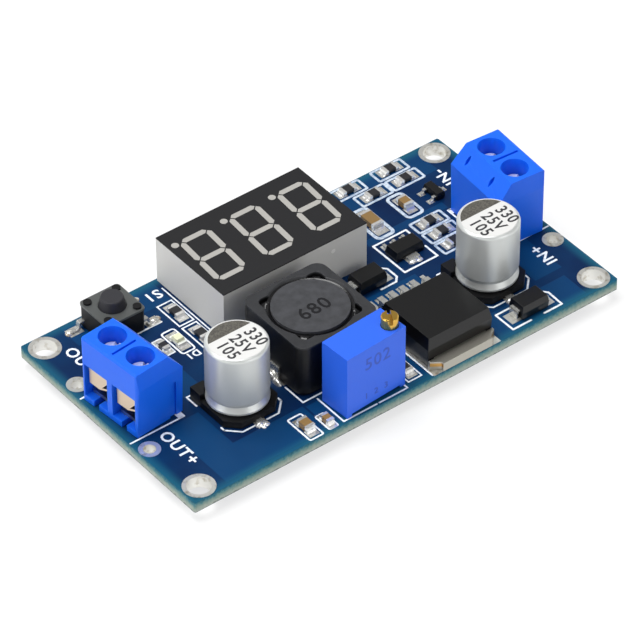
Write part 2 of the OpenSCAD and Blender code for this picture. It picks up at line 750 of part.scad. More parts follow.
module inductor_winding() color("#a65a2e") on_board(inductor_at)
    translate([0, 0, shield_bottom + flange_thick]) difference() {
        cylinder(r = winding_r, h = inductor_h - shield_bottom - 2 * flange_thick);
        translate([0, 0, -overlap]) cylinder(r = waist_r, h = inductor_h);
    }

// Bent clip at each side: a foot under the core and a tongue up the shield
module inductor_clips() color("#cfcdc4") on_board(inductor_at)
    for (s = [0, 1]) mirror([s, 0, 0]) across_y(clip_w) polygon([
        [shield_side / 2 - clip_foot, land_t], [shield_side / 2 + clip_t, land_t],
        [shield_side / 2 + clip_t, clip_rise], [shield_side / 2, clip_rise],
        [shield_side / 2, shield_bottom], [shield_side / 2 - clip_foot, shield_bottom]
    ]);

// ---------- trimmer ----------

trimmer_bottom = land_t + trimmer_feet;
adjuster_bottom = trimmer_h - adjuster_depth;

module at_trimmer() on_board(trimmer_at, trimmer_twist) children();

module trimmer_housing() color("#3a6cf5") at_trimmer() difference() {
    union() {
        translate([0, 0, trimmer_bottom])
            linear_extrude(trimmer_h - trimmer_bottom) square([trimmer_l, trimmer_w], center = true);
        for (x = [-1, 1]) translate([x * (trimmer_l / 2 - 0.4), 0, land_t])
            linear_extrude(trimmer_feet + overlap) square([0.8, trimmer_w], center = true);
    }
    translate([0, 0, trimmer_bottom - overlap])
        linear_extrude(seal_t + overlap) square(seal_area, center = true);
    translate([adjuster_at.x, adjuster_at.y, adjuster_bottom - 0.1])
        cylinder(r = adjuster_r + adjuster_clearance, h = trimmer_h);
}

module trimmer_screw() color("#c9a24a") at_trimmer() translate(adjuster_at) difference() {
    translate([0, 0, adjuster_bottom]) rotate_extrude() polygon([
        [0, 0], [adjuster_r, 0], [adjuster_r, adjuster_depth + adjuster_rise - 0.15],
        [adjuster_r - 0.15, adjuster_depth + adjuster_rise], [0, adjuster_depth + adjuster_rise]
    ]);
    translate([0, 0, trimmer_h + adjuster_rise]) rotate(adjuster_turn)
        cube([2 * adjuster_r + overlap, 0.45, 1.5], center = true);
}

module trimmer_seal() color("#2f59c8") at_trimmer() difference() {
    translate([0, 0, trimmer_bottom])
        linear_extrude(seal_t) square(seal_area, center = true);
    for (i = [-1 : 1]) translate([i * pin_pitch, 0, 0]) cylinder(r = trimmer_pin_r, h = trimmer_h);
}

module trimmer_pins() color("#cfcfca") trimmer_pin_places()
    translate([0, 0, -pin_tail])
        cylinder(r = trimmer_pin_r, h = pin_tail + board_t + trimmer_bottom + seal_t);

// ---------- regulator ----------

body_lift = land_t;
tab_front = regulator_l / 2 + tab_reach;
tab_cut = 1.2;
slug_w = 8.2;
lead_w = 0.8;
lead_t = 0.5;
lead_level = 2.9;
lead_root = 0.8;
lead_bend = 1.9;
lead_reach = 4.45;

// Metal tab: the part in front of the body and the slug under it
module tab_plate() {
    w = regulator_w / 2 + 0.03;
    front = -tab_front;
    linear_extrude(tab_t) polygon([
        [tab_cut - w, front], [w - tab_cut, front], [w - tab_cut, front + 0.35], [w, front + tab_cut],
        [w, -regulator_l / 2], [slug_w / 2, -regulator_l / 2], [slug_w / 2, 2.6], [-slug_w / 2, 2.6],
        [-slug_w / 2, -regulator_l / 2], [-w, -regulator_l / 2], [-w, front + tab_cut],
        [tab_cut - w, front + 0.35]
    ]);
}

module regulator_tab() color("#b9b7ae") on_board(regulator_at) translate([0, 0, land_t]) tab_plate();

module regulator_body() color("#1d1d1f") on_board(regulator_at) difference() {
    moulded_body(regulator_w, regulator_l, regulator_h, body_lift, 2.9, 0.35);
    translate([0, 0, land_t]) tab_plate();
    regulator_lead_set();
}

module regulator_lead_set()
    for (i = [-2 : 2]) translate([i * lead_pitch, 0, 0]) rotate(90)
        gull_lead(regulator_l / 2 - lead_root, lead_level, regulator_l / 2 + lead_bend,
            regulator_l / 2 + lead_reach, lead_w, lead_t, land_t);

module regulator_leads() color("#c6c5c0") on_board(regulator_at) regulator_lead_set();

// ---------- diodes ----------

diode_strip_w = 1.45;
diode_strip_t = 0.2;
diode_strip_reach = 0.45;
diode_foot = 1.2;
diode_level = 1.25;

module diode_body() difference() {
    moulded_body(diode_l, diode_w, diode_h, land_t + diode_strip_t, diode_level, 0.18);
    diode_leads();
}

// Flat strip at each end: out of the body, down its end and back under it
module diode_leads() {
    t = diode_strip_t;
    out = diode_l / 2 + diode_strip_reach;
    root = diode_l / 2 - 0.5;
    for (s = [0, 1]) mirror([s, 0, 0]) across_y(diode_strip_w) polygon([
        [root, diode_level + t], [out - 0.1, diode_level + t], [out, diode_level], [out, land_t],
        [out - diode_foot, land_t], [out - diode_foot, land_t + t], [out - t, land_t + t],
        [out - t, diode_level], [root, diode_level]
    ]);
}

module input_diode_body() color("#242426") on_board(input_diode_at) diode_body();
module input_diode_leads() color("#d2d1cb") on_board(input_diode_at) diode_leads();
module output_diode_body() color("#242426") on_board(output_diode_at) diode_body();
module output_diode_leads() color("#d2d1cb") on_board(output_diode_at) diode_leads();

// ---------- small regulator and transistor ----------

small_body = [4.5, 2.5, 1.5];
small_lead_t = 0.4;

module small_strips() {
    for (i = [-1 : 1]) translate([i * 1.5 - 0.22, 0.7, land_t]) cube([0.44, 1.75, small_lead_t]);
    translate([-0.85, -2.1, land_t]) cube([1.7, 2.4, small_lead_t]);
}

module small_regulator_body() color("#1f1f21") on_board(small_regulator_at) difference() {
    moulded_body(small_body.x, small_body.y, small_body.z, land_t, land_t + small_lead_t, 0.2);
    small_strips();
}

module small_regulator_leads() color("#d2d1cb") on_board(small_regulator_at) small_strips();

module transistor_lead_set() {
    for (y = [-1, 1]) translate([0, y * 0.95, 0]) mirror([1, 0, 0])
        gull_lead(0.4, 0.65, 1.05, 1.55, 0.42, 0.14, land_t);
    gull_lead(0.4, 0.65, 1.05, 1.55, 0.42, 0.14, land_t);
}

module transistor_body() color("#1f1f21") on_board(transistor_at) difference() {
    moulded_body(1.3, 2.9, 1.1, land_t + 0.06, 0.6, 0.1);
    transistor_lead_set();
}

module transistor_leads() color("#d2d1cb") on_board(transistor_at) transistor_lead_set();

// ---------- switch ----------

cover_bottom = cover_h - cover_t;
pocket_floor = 1.6;
switch_lift = land_t + 0.05;
switch_edge_r = 0.5;
leg_t = 0.3;
leg_w = 0.7;
leg_reach = 2.1;
leg_bend = 0.7;
leg_root = 0.6;
leg_level = 1.3;
leg_y = 2.25;
leg_tip = switch_side / 2 + leg_reach;

module at_switch() on_board(switch_at) children();

module stud_places() for (x = [-1, 1], y = [-1, 1]) translate([x * stud_at, y * stud_at]) children();

module switch_base() color("#161618") at_switch() difference() {
    union() {
        translate([0, 0, switch_lift])
            rounded_block(switch_side - 0.15, switch_side - 0.15, cover_bottom - switch_lift, switch_edge_r);
        stud_places() cylinder(r = stud_r, h = cover_h + 0.25);
    }
    translate([0, 0, pocket_floor]) cylinder(r = pocket_r, h = cover_h);
    switch_leg_set();
}

module switch_cover() color("#5b5b5e") at_switch() difference() {
    translate([0, 0, cover_bottom]) rounded_block(switch_side, switch_side, cover_t, switch_edge_r);
    cylinder(r = button_r + button_clearance, h = cover_h + overlap);
    stud_places() cylinder(r = stud_r, h = cover_h + overlap);
}

// Button, with the flange that keeps it under the cover and the stem on the dome
module switch_button() color("#1c1c1e") at_switch() rotate_extrude() polygon([
    [0, pocket_floor + dome_h + 0.02], [1, pocket_floor + dome_h + 0.02],
    [1, cover_bottom - 0.02 - flange_t], [flange_r, cover_bottom - 0.02 - flange_t],
    [flange_r, cover_bottom - 0.02], [button_r, cover_bottom - 0.02], [button_r, cover_h + 0.05],
    [button_r - 0.25, button_h - 0.12], [button_r - 0.37, button_h], [0, button_h]
]);

// Snap dome under the button: it flattens when the button is pressed
module switch_dome() color("#c9c8c4") at_switch() translate([0, 0, pocket_floor]) rotate_extrude() polygon([
    [2.1, 0], [1.9, 0], [1, dome_h - 0.14], [0, dome_h - 0.08], [0, dome_h], [1, dome_h - 0.06], [2.1, 0.08]
]);

module switch_leg_set() {
    side = switch_side / 2;
    for (s = [0, 1], y = [-1, 1]) mirror([s, 0, 0]) translate([0, y * leg_y, 0])
        gull_lead(side - leg_root, leg_level, side + leg_bend, leg_tip, leg_w, leg_t, land_t);
}

module switch_legs() color("#cfcdc4") at_switch() switch_leg_set();

// ---------- chip parts ----------

cap_l = 0.4;
cap_skin = 0.03;

// Body of a chip part between its two end caps
module chip_body(l, w, h)
    translate([0, 0, land_t + cap_skin]) linear_extrude(h) square([l - 2 * cap_l, w], center = true);

module chip_ends(l, w, h) for (x = [-1, 1])
    translate([x * (l / 2 - cap_l / 2), 0, land_t])
        linear_extrude(h + 2 * cap_skin) square([cap_l, w + 2 * cap_skin], center = true);

module chip_resistor_bodies() color("#1a1a1c") {
    for (p = large_resistors) on_board(p, p.z) chip_body(chip_l, chip_w, resistor_h);
    for (p = small_resistors)
        on_board(p, p.z) chip_body(tiny_l, tiny_w, resistor_h);
}

module chip_resistor_ends() color("#d9d8d3") {
    for (p = large_resistors) on_board(p, p.z) chip_ends(chip_l, chip_w, resistor_h);
    for (p = small_resistors)
        on_board(p, p.z) chip_ends(tiny_l, tiny_w, resistor_h);
}

module ceramic_capacitor_bodies() color("#a98258") {
    for (p = large_ceramics) on_board(p, p.z) chip_body(chip_l, chip_w, ceramic_h);
    for (p = tall_ceramics)
        on_board(p, p.z) chip_body(tall_l, tall_w, ceramic_h);
    for (p = small_ceramics)
        on_board(p, p.z) chip_body(tiny_l, tiny_w, tiny_ceramic_h);
}

module ceramic_capacitor_ends() color("#d9d8d3") {
    for (p = large_ceramics) on_board(p, p.z) chip_ends(chip_l, chip_w, ceramic_h);
    for (p = tall_ceramics)
        on_board(p, p.z) chip_ends(tall_l, tall_w, ceramic_h);
    for (p = small_ceramics)
        on_board(p, p.z) chip_ends(tiny_l, tiny_w, tiny_ceramic_h);
}

// ---------- indicator ----------

indicator_base_h = 0.35;
indicator_h = 0.8;

module indicator_base() color("#dfe2da") on_board(indicator_at, 90) {
    translate([0, 0, land_t]) linear_extrude(indicator_base_h) square([chip_l, chip_w], center = true);
}

module indicator_lens() color("#efe9cf") on_board(indicator_at, 90)
    translate([0, 0, land_t]) moulded_body(chip_l * 0.62, chip_w, indicator_h, indicator_base_h,
        indicator_base_h + 0.05, 0.12);

// ---------- driver chip, under the board ----------

driver_l = 6.5;
driver_w = 4.4;
driver_h = 1.1;
driver_pitch = 0.65;
driver_tip = 3.2;

module at_driver() translate([driver_chip_at.x, driver_chip_at.y, 0]) mirror([0, 0, 1]) children();

module driver_leads() for (s = [0, 1], i = [-4.5 : 1 : 4.5]) mirror([0, s, 0])
    translate([i * driver_pitch, 0, 0]) rotate(90)
        gull_lead(driver_w / 2 - 0.3, 0.7, driver_w / 2 + 0.35, driver_tip, 0.24, 0.14, land_t);

module driver_chip_body() color("#1f1f21") at_driver() difference() {
    moulded_body(driver_l, driver_w, driver_h, land_t + 0.1, 0.63, 0.1);
    driver_leads();
}

module driver_chip_leads() color("#d2d1cb") at_driver() driver_leads();

circuit_board();
plated_lands();
solder_joints();
display_shell();
display_mask();
display_resin();
display_backing();
display_pins();
output_housing();
output_contacts();
output_positive_clamp();
output_positive_screw();
output_negative_clamp();
output_negative_screw();
input_housing();
input_contacts();
input_positive_clamp();
input_positive_screw();
input_negative_clamp();
input_negative_screw();
output_capacitor_can();
output_capacitor_base();
output_capacitor_leads();
input_capacitor_can();
input_capacitor_base();
input_capacitor_leads();
inductor_shield();
inductor_drum();
inductor_winding();
inductor_clips();
trimmer_housing();
trimmer_screw();
trimmer_seal();
trimmer_pins();
regulator_body();
regulator_tab();
regulator_leads();
input_diode_body();
input_diode_leads();
output_diode_body();
output_diode_leads();
small_regulator_body();
small_regulator_leads();
transistor_body();
transistor_leads();
switch_base();
switch_cover();
switch_button();
switch_dome();
switch_legs();
chip_resistor_bodies();
chip_resistor_ends();
ceramic_capacitor_bodies();
ceramic_capacitor_ends();
indicator_base();
indicator_lens();
driver_chip_body();
driver_chip_leads();
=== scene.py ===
"""Looks of a step-down converter board with a three-digit voltmeter, in metres, in the CAD frame."""

import math

import bmesh
import bpy
from mathutils import Matrix, Vector


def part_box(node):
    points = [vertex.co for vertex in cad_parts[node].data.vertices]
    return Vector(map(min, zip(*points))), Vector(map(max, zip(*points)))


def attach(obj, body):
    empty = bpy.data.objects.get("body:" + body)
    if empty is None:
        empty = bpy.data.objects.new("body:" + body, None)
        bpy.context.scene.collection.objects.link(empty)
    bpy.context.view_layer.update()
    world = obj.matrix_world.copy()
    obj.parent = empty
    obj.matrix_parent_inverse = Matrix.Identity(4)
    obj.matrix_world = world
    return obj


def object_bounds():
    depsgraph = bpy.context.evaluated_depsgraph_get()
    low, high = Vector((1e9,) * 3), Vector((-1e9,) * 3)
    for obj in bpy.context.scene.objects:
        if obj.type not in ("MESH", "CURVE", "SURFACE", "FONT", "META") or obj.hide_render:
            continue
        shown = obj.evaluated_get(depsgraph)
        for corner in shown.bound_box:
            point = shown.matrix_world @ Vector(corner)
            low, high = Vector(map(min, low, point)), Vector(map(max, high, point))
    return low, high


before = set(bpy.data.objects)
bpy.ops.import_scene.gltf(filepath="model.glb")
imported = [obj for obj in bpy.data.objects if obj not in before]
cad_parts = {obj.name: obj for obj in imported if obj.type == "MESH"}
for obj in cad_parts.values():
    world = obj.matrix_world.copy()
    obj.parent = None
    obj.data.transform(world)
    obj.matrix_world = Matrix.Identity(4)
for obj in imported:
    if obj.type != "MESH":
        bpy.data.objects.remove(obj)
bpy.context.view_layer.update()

# Circuit board: 1.6 mm glass-fibre laminate under blue solder mask, sawn to size, so its edges show
# the pale glass and resin. Copper areas under the mask look lighter than bare laminate under it.
MM = 0.001
board_low, board_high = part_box("circuit_board")
board_top = board_high[2] / MM
board_under = board_low[2] / MM
output_end = board_low[0] / MM
input_end = board_high[0] / MM
near_edge = board_low[1] / MM
far_edge = board_high[1] / MM
lacquer_roughness = 0.3
painted_edge_reflection_mm = 1.7
copper_fade_mm = 0.06
mask_blue = "#061f45"
mask_over_copper = "#08355f"
copper_areas = (
    (-28, -12.6, near_edge + 0.6, -12.3), (-28, -23.2, -12.5, -5.3), (-23, -20, -3, 5),
    (-12.3, 3.2, near_edge + 0.6, -12.6), (24.9, 29.2, -11.8, 4.4), (14.9, 29.2, 13, far_edge - 0.4),
    (12.6, 25.4, 6.2, 7.5), (14.6, 28.4, near_edge + 0.5, -13.2), (-27.4, -13.2, 13.6, far_edge - 0.4),
    (4.6, 13.8, -3.2, -1.4),
)


def linear(hex_colour):
    """An sRGB hex colour as linear RGBA."""
    out = []
    for at in (1, 3, 5):
        c = int(hex_colour[at:at + 2], 16) / 255
        out.append(c / 12.92 if c <= 0.04045 else ((c + 0.055) / 1.055) ** 2.4)
    return (*out, 1.0)


def node(tree, kind, settings=(), links=()):
    """Adds a shader node, sets its properties and sockets, and links its inputs."""
    made = tree.nodes.new(kind)
    for name, value in dict(settings).items():
        if isinstance(name, str) and hasattr(made, name):
            setattr(made, name, value)
        else:
            made.inputs[name].default_value = value
    for name, source in dict(links).items():
        tree.links.new(source, made.inputs[name])
    return made


def material(name, colour, roughness, metallic=0.0, **sockets):
    """A Principled material of one colour, with its tree ready for patterns."""
    made = bpy.data.materials.new(name)
    made.use_nodes = True
    shader = made.node_tree.nodes["Principled BSDF"]
    shader.inputs["Base Color"].default_value = linear(colour)
    shader.inputs["Roughness"].default_value = roughness
    shader.inputs["Metallic"].default_value = metallic
    for socket, value in sockets.items():
        shader.inputs[socket.replace("_", " ")].default_value = value
    made.diffuse_color = linear(colour)
    return made


def grain(made, size_mm, depth_mm, strength):
    """Fine unevenness of a surface: noise of that size and depth, as bump."""
    tree = made.node_tree
    where = node(tree, "ShaderNodeTexCoord")
    noise = node(
        tree, "ShaderNodeTexNoise", {"Scale": 1 / (size_mm * MM), "Detail": 3.0},
        {"Vector": where.outputs["Object"]},
    )
    bump = node(
        tree, "ShaderNodeBump", {"Strength": strength, "Distance": depth_mm * MM},
        {"Height": noise.outputs["Fac"]},
    )
    tree.links.new(bump.outputs["Normal"], tree.nodes["Principled BSDF"].inputs["Normal"])


def mottle(made, colour, other, size_mm, low=0.35, high=0.65):
    """Two colours of a surface, mixed by soft noise of that size."""
    tree = made.node_tree
    where = node(tree, "ShaderNodeTexCoord")
    noise = node(
        tree, "ShaderNodeTexNoise", {"Scale": 1 / (size_mm * MM), "Detail": 3.0},
        {"Vector": where.outputs["Object"]},
    )
    ramp = node(tree, "ShaderNodeValToRGB", (), {"Fac": noise.outputs["Fac"]})
    ramp.color_ramp.elements[0].position = low
    ramp.color_ramp.elements[0].color = linear(colour)
    ramp.color_ramp.elements[1].position = high
    ramp.color_ramp.elements[1].color = linear(other)
    tree.links.new(ramp.outputs["Color"], tree.nodes["Principled BSDF"].inputs["Base Color"])


def dress(name, made):
    """Gives a CAD node its material."""
    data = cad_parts[name].data
    data.materials.clear()
    data.materials.append(made)


def soften(name, width_mm, segments=2, angle=30):
    """Rounds the sharp edges of a CAD node as its mould or die does."""
    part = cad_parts[name]
    weld = part.modifiers.new("weld", "WELD")
    weld.merge_threshold = 0.002 * MM
    bevel = part.modifiers.new("edges", "BEVEL")
    bevel.width = width_mm * MM
    bevel.segments = segments
    bevel.limit_method = "ANGLE"
    bevel.angle_limit = math.radians(angle)
    bevel.harden_normals = True


def finished(bm, name, made, smooth_below=None):
    """Turns a bmesh in millimetres into a piece that rides on the board."""
    bmesh.ops.scale(bm, vec=(MM, MM, MM), verts=bm.verts)
    bmesh.ops.recalc_face_normals(bm, faces=bm.faces)
    data = bpy.data.meshes.new(name)
    bm.to_mesh(data)
    bm.free()
    data.materials.append(made)
    if smooth_below is not None:
        data.shade_smooth()
        data.set_sharp_from_angle(angle=math.radians(smooth_below))
    piece = bpy.data.objects.new(name, data)
    bpy.context.collection.objects.link(piece)
    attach(piece, "board")


def make_solder_mask():
    """Glossy lacquer, lighter over copper and painted teal near the edges as a painted reflection, and sawn
    glass fibre at the edges, greyer at the bottom and teal towards the top.
    """
    made = material(
        "blue solder mask on laminate", mask_blue, lacquer_roughness, Specular_IOR_Level=0.12
    )
    tree = made.node_tree
    shader = tree.nodes["Principled BSDF"]
    where = node(tree, "ShaderNodeTexCoord").outputs["Object"]
    nearest = None
    for x0, x1, y0, y1 in copper_areas:
        to_centre = (-(x0 + x1) / 2 * MM, -(y0 + y1) / 2 * MM, 0)
        half = ((x1 - x0) / 2 * MM, (y1 - y0) / 2 * MM, 0)
        away = node(tree, "ShaderNodeMapping", {"Location": to_centre}, {"Vector": where})
        size = node(tree, "ShaderNodeVectorMath", {"operation": "ABSOLUTE"}, {0: away.outputs[0]})
        past = node(tree, "ShaderNodeVectorMath", {"operation": "SUBTRACT", 1: half}, {0: size.outputs[0]})
        axes = node(tree, "ShaderNodeSeparateXYZ", (), {0: past.outputs[0]})
        far = node(tree, "ShaderNodeMath", {"operation": "MAXIMUM"}, {0: axes.outputs[0], 1: axes.outputs[1]})
        if nearest is not None:
            far = node(tree, "ShaderNodeMath", {"operation": "MINIMUM"}, {0: far.outputs[0], 1: nearest})
        nearest = far.outputs[0]
    copper = node(
        tree, "ShaderNodeMapRange", {1: copper_fade_mm * MM, 2: -copper_fade_mm * MM, 3: 0.0, 4: 1.0},
        {0: nearest},
    )
    # Clouds 7 mm across, where the lacquer has run a little thicker or thinner
    cloud = node(tree, "ShaderNodeTexNoise", {"Scale": 1 / (7 * MM), "Detail": 2.0}, {"Vector": where})
    face = node(
        tree, "ShaderNodeMix", {"data_type": "RGBA", 6: linear(mask_blue), 7: linear(mask_over_copper)},
        {0: copper.outputs[0]},
    )
    # Painted reflection: near the sawn edges the mask is painted teal, where it reflects the pale room
    size = node(tree, "ShaderNodeVectorMath", {"operation": "ABSOLUTE"}, {0: where})
    past = node(
        tree, "ShaderNodeVectorMath", {"operation": "SUBTRACT", 1: (input_end * MM, far_edge * MM, 0)},
        {0: size.outputs[0]},
    )
    axes = node(tree, "ShaderNodeSeparateXYZ", (), {0: past.outputs[0]})
    inwards = node(tree, "ShaderNodeMath", {"operation": "MAXIMUM"}, {0: axes.outputs[0], 1: axes.outputs[1]})
    glow = node(
        tree, "ShaderNodeMapRange",
        {"interpolation_type": "SMOOTHSTEP", 1: -painted_edge_reflection_mm * MM, 2: 0.1 * MM, 3: 0.0, 4: 0.75},
        {0: inwards.outputs[0]},
    )
    face = node(
        tree, "ShaderNodeMix", {"data_type": "RGBA", 7: linear("#1f6276")},
        {0: glow.outputs[0], 6: face.outputs[2]},
    )
    shade = node(tree, "ShaderNodeMapRange", {1: 0.3, 2: 0.7, 3: 0.0, 4: 0.35}, {0: cloud.outputs["Fac"]})
    face = node(
        tree, "ShaderNodeMix", {"data_type": "RGBA", 7: linear("#0b4472")},
        {0: shade.outputs[0], 6: face.outputs[2]},
    )
    # The sawn edge lies between the two faces: pale glass fibre in tufts of half a millimetre, greyer towards
    # the bottom and teal towards the top
    split = node(tree, "ShaderNodeSeparateXYZ", (), {0: where})
    middle = (board_top + board_under) / 2 * MM
    off_middle = node(tree, "ShaderNodeMath", {"operation": "SUBTRACT", 1: middle}, {0: split.outputs["Z"]})
    depth = node(tree, "ShaderNodeMath", {"operation": "ABSOLUTE"}, {0: off_middle.outputs[0]})
    edge = node(
        tree, "ShaderNodeMath", {"operation": "LESS_THAN", 1: middle - 0.03 * MM}, {0: depth.outputs[0]}
    )
    ragged = node(
        tree, "ShaderNodeTexNoise", {"Scale": 1 / (0.5 * MM), "Detail": 8.0, "Roughness": 0.65},
        {"Vector": where},
    )
    level = node(
        tree, "ShaderNodeMapRange", {1: board_under * MM, 2: board_top * MM, 3: -0.1, 4: 0.62},
        {0: split.outputs["Z"]},
    )
    fibre_tone = node(tree, "ShaderNodeMath", {"operation": "MULTIPLY_ADD", 1: 0.6}, {
        0: ragged.outputs["Fac"], 2: level.outputs[0]})
    fibre = node(tree, "ShaderNodeValToRGB", (), {0: fibre_tone.outputs[0]})
    ramp = fibre.color_ramp
    ramp.elements[0].position, ramp.elements[0].color = 0.16, linear("#5a625d")
    ramp.elements[1].position, ramp.elements[1].color = 0.9, linear("#1f5a70")
    for position, colour in ((0.3, "#a4aba2"), (0.56, "#7f948b"), (0.74, "#4c7c84")):
        ramp.elements.new(position).color = linear(colour)
    colour = node(
        tree, "ShaderNodeMix", {"data_type": "RGBA"},
        {0: edge.outputs[0], 6: face.outputs[2], 7: fibre.outputs["Color"]},
    )
    tree.links.new(colour.outputs[2], shader.inputs["Base Color"])
    rough = node(tree, "ShaderNodeMath", {"operation": "MULTIPLY_ADD", 1: 0.4, 2: 0.32}, {0: edge.outputs[0]})
    tree.links.new(rough.outputs[0], shader.inputs["Roughness"])
    raised = node(
        tree, "ShaderNodeBump", {"Strength": 0.5, "Distance": 0.02 * MM}, {"Height": copper.outputs[0]}
    )
    tree.links.new(raised.outputs["Normal"], shader.inputs["Normal"])
    return made


dress("circuit_board", make_solder_mask())

# Plated lands, rings and tubes: copper under a film of tin, level and a little uneven, mottled with painted
# bright and dull patches of reflection. Solder joints are the same metal, melted on: brighter, in fillets and
# small heaps.
tin_film = material("tin-plated copper", "#dcd9cd", 0.28, 0.85)
# Painted reflection: bright and brownish-grey patches mixed into the tin's colour
mottle(tin_film, "#f0efe9", "#a89d84", 0.9, 0.52, 0.8)
grain(tin_film, 0.7, 0.06, 0.6)
dress("plated_lands", tin_film)
solder = material("reflowed solder", "#f4f3f0", 0.16, 0.7)
grain(solder, 0.5, 0.1, 0.6)
dress("solder_joints", solder)


def heap(layer, x, y, length, width, height):
    """A rounded heap of solder on a land, cut off level with the board."""
    bmesh.ops.create_icosphere(
        layer, subdivisions=3, radius=0.5,
        matrix=Matrix.Translation((x, y, board_top)) @ Matrix.Diagonal((length, width, 2 * height, 1)),
    )


def cut_level(layer):
    """Cuts off what lies below the tin on the board's upper face."""
    tin_thickness = 0.01
    bmesh.ops.bisect_plane(
        layer, geom=layer.verts[:] + layer.edges[:] + layer.faces[:],
        plane_co=(0, 0, board_top + tin_thickness),
        plane_no=(0, 0, -1), clear_outer=True,
    )


# Heaps at the cans' outer leads, along the inductor's clip and at the small regulator's tab
heaps = bmesh.new()
for x, y, length, width, height in (
    (-18.75, -11.8, 1.1, 0.9, 0.5), (-18.05, -12.15, 1.1, 0.8, 0.32), (-18.5, -12.4, 0.7, 0.6, 0.25),
    (19.8, -12.9, 1.1, 0.9, 0.5), (20.5, -13.2, 1.1, 0.8, 0.32), (20.1, -13.4, 0.7, 0.6, 0.25),
    (-12.35, -5.6, 1.0, 2.2, 0.9), (-12.4, -7.0, 0.9, 1.7, 0.6), (-12.3, -4.3, 0.8, 1.2, 0.4),
    (15.2, 0.6, 1.5, 0.9, 0.35), (16.0, 0.4, 1.1, 0.8, 0.22),
):
    heap(heaps, x, y, length, width, height)
cut_level(heaps)
finished(heaps, "solder_heaps", solder, smooth_below=60)

# Screen print on the board: white epoxy ink pressed through a mesh, which lies a little above the mask.
# It frames each part, and names the wire holes and the poles of the terminals. Its blue flecks are mask
# that shows through, and the far small frames are thinner still, so they look greyer.
ink_thickness = 0.03
ink_top = board_top + ink_thickness
line_step = 0.004
ink = material("white screen-printed ink", "#e9eef4", 0.6)
mottle(ink, "#b9c6d8", "#eef2f6", 0.5, 0.2, 0.55)
print_layer = bmesh.new()
thin_print = bmesh.new()


def frame_line(layer, cx, cy, length, width, line, corner):
    """A printed frame round a part: a rounded rectangle drawn with one line width."""
    sheet = bmesh.ops.create_grid(
        layer, x_segments=1, y_segments=1, size=0.5,
        matrix=Matrix.Translation((cx, cy, ink_top)) @ Matrix.Diagonal((length, width, 1, 1)),
    )
    face = next(iter(sheet["verts"][0].link_faces))
    if corner:
        cut = bmesh.ops.bevel(
            layer, geom=list(face.verts), offset=corner, affect="VERTICES", segments=4,
            profile=0.5, material=-1,
        )
        face = max(set(f for v in cut["verts"] for f in v.link_faces), key=lambda f: f.calc_area())
    bmesh.ops.inset_region(
        layer, faces=[face], thickness=line, use_even_offset=True, use_boundary=True
    )
    bmesh.ops.delete(layer, geom=[face], context="FACES")


def stroke(points, line=0.25):
    """A printed line through points, with round ends. Its runs differ by a step, so none lies in another."""
    for count, ((ax, ay), (bx, by)) in enumerate(zip(points, points[1:])):
        run = Vector((bx - ax, by - ay, 0))
        middle = Vector(((ax + bx) / 2, (ay + by) / 2, ink_top + line_step * (count % 2)))
        place = Matrix.Translation(middle) @ Matrix.Rotation(math.atan2(run.y, run.x), 4, "Z")
        bmesh.ops.create_grid(
            print_layer, x_segments=1, y_segments=1, size=0.5,
            matrix=place @ Matrix.Diagonal((run.length, line, 1, 1)),
        )
    for x, y in points:
        bmesh.ops.create_circle(
            print_layer, cap_ends=True, radius=line / 2, segments=12,
            matrix=Matrix.Translation((x, y, ink_top + 2 * line_step)),
        )


# Frames of the resistors that lie along the board, then of the parts that stand across it
for x, y in (
    (input_end - 15.95, far_edge - 1.35), (input_end - 9.05, far_edge - 1.35),
    (input_end - 13.85, far_edge - 4), (input_end - 8.65, far_edge - 4),
    (input_end - 11.55, 5.4), (input_end - 11.55, 2.85), (input_end - 11.55, 0.3),
):
    frame_line(thin_print, x, y, 5.2, 2.5, 0.36, 0.35)
for x, y, length, width, line, corner in (
    (-14.4, far_edge - 6.85, 4.9, 2.4, 0.22, 0),
    (-14.4, far_edge - 12.05, 4.9, 2.4, 0.22, 0),
    (output_end + 13.85, far_edge - 11.1, 3.3, 1.5, 0.2, 0.2),
    (output_end + 15.95, far_edge - 11.3, 4.9, 2.2, 0.25, 0.5),
    (-14.6, near_edge + 2.5, 4.8, 2.3, 0.25, 0.35),
    (-11.9, near_edge + 1.75, 3.1, 1.6, 0.25, 0.35),
    (1.4, near_edge + 3.5, 4.9, 2.3, 0.22, 0),
    (input_end - 11.95, far_edge - 8.1, 5.2, 2.9, 0.45, 0.8),
    (15.7, far_edge - 8.3, 6.6, 3.1, 0.5, 0.8),
):
    frame_line(print_layer if x < 5 else thin_print, x, y, width, length, line, corner)

# Screw terminals: the line round each and its thick corner
out_x, out_back = output_end + 0.2, output_end + 8.3
stroke([(out_x, -4.8), (out_back, -4.8), (out_back, 5.5), (out_x, 5.5)])
frame_line(print_layer, out_back - 0.35, -4.35, 0.9, 0.9, 0.44, 0)
in_x, in_back = input_end - 0.2, input_end - 8.3
stroke([(in_x, -4.6), (in_back, -4.6), (in_back, 5.7), (in_x, 5.7)])
frame_line(print_layer, in_back + 0.35, 5.3, 0.9, 0.9, 0.44, 0)

# Cans: the base's outline, open where the leads come out
for cx, cy in ((-18.35, -6.9), (20.2, -7.9)):
    for side in (-1, 1):
        stroke([(cx + side * 0.95, cy - 4.6), (cx + side * 2.75, cy - 4.6), (cx + side * 4.35, cy - 3)])
        stroke([
            (cx + side * 4.35, cy - 3), (cx + side * 4.35, cy - 2.4),
        ])
        stroke([(cx + side * 0.95, cy + 4.6), (cx + side * 4.35, cy + 4.6), (cx + side * 4.35, cy + 2.6)])

# Inductor, trimmer and regulator
stroke([(-12.1, -8.3), (-12.1, -11.8), (-8.9, -11.8)])
stroke([(0.6, -8.3), (0.6, -11.8), (-2.4, -11.8)])
stroke([(-10.3, -12.4), (-10.3, near_edge + 0.42), (-5.2, near_edge + 0.42)])
stroke([(-4.8, near_edge + 0.42), (-0.4, near_edge + 0.42), (-0.4, -12.4)])
stroke([(3.45, -12.4), (3.45, near_edge + 0.3)])

